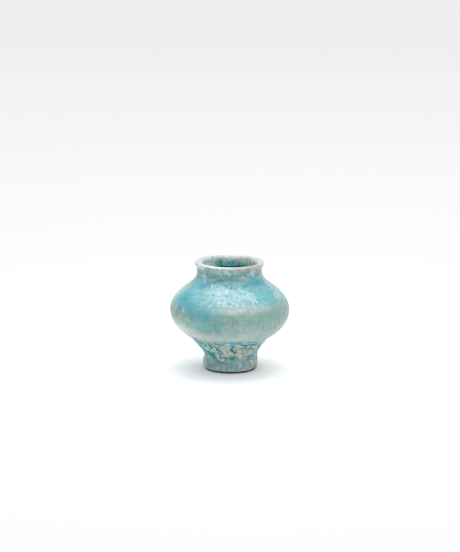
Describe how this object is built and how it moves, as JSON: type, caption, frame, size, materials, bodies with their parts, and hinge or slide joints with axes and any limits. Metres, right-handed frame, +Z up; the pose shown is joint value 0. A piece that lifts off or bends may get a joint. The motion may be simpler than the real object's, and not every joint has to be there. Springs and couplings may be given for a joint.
{
  "type": "glazed jar",
  "caption": "Hollow round-bellied glazed jar with a short collar, an everted lip and a pedestal foot, open at the top, which stands on a flat bare clay ring.",
  "frame": {"origin": "on the jar's axis, in the plane that the resting ring stands on", "axes": "+Z up along the jar's axis, -Y towards the viewer of the front, +X to that viewer's right"},
  "size_m": [0.08, 0.08, 0.073],
  "materials": {
    "fired_clay": "matt, bare, pinkish grey and buff",
    "dried_slip": "matt, bare",
    "turquoise_glaze": "worn gloss with a silvery weathered film and a buff crust low down"
  },
  "bodies": {
    "root": {"pedestal_foot": "fired_clay", "belly_wall": "fired_clay", "collar_and_lip": "fired_clay", "foot_luting_slip": "dried_slip", "collar_luting_slip": "dried_slip", "outside_glaze": "turquoise_glaze", "inside_glaze": "turquoise_glaze"}
  },
  "joints": []
}
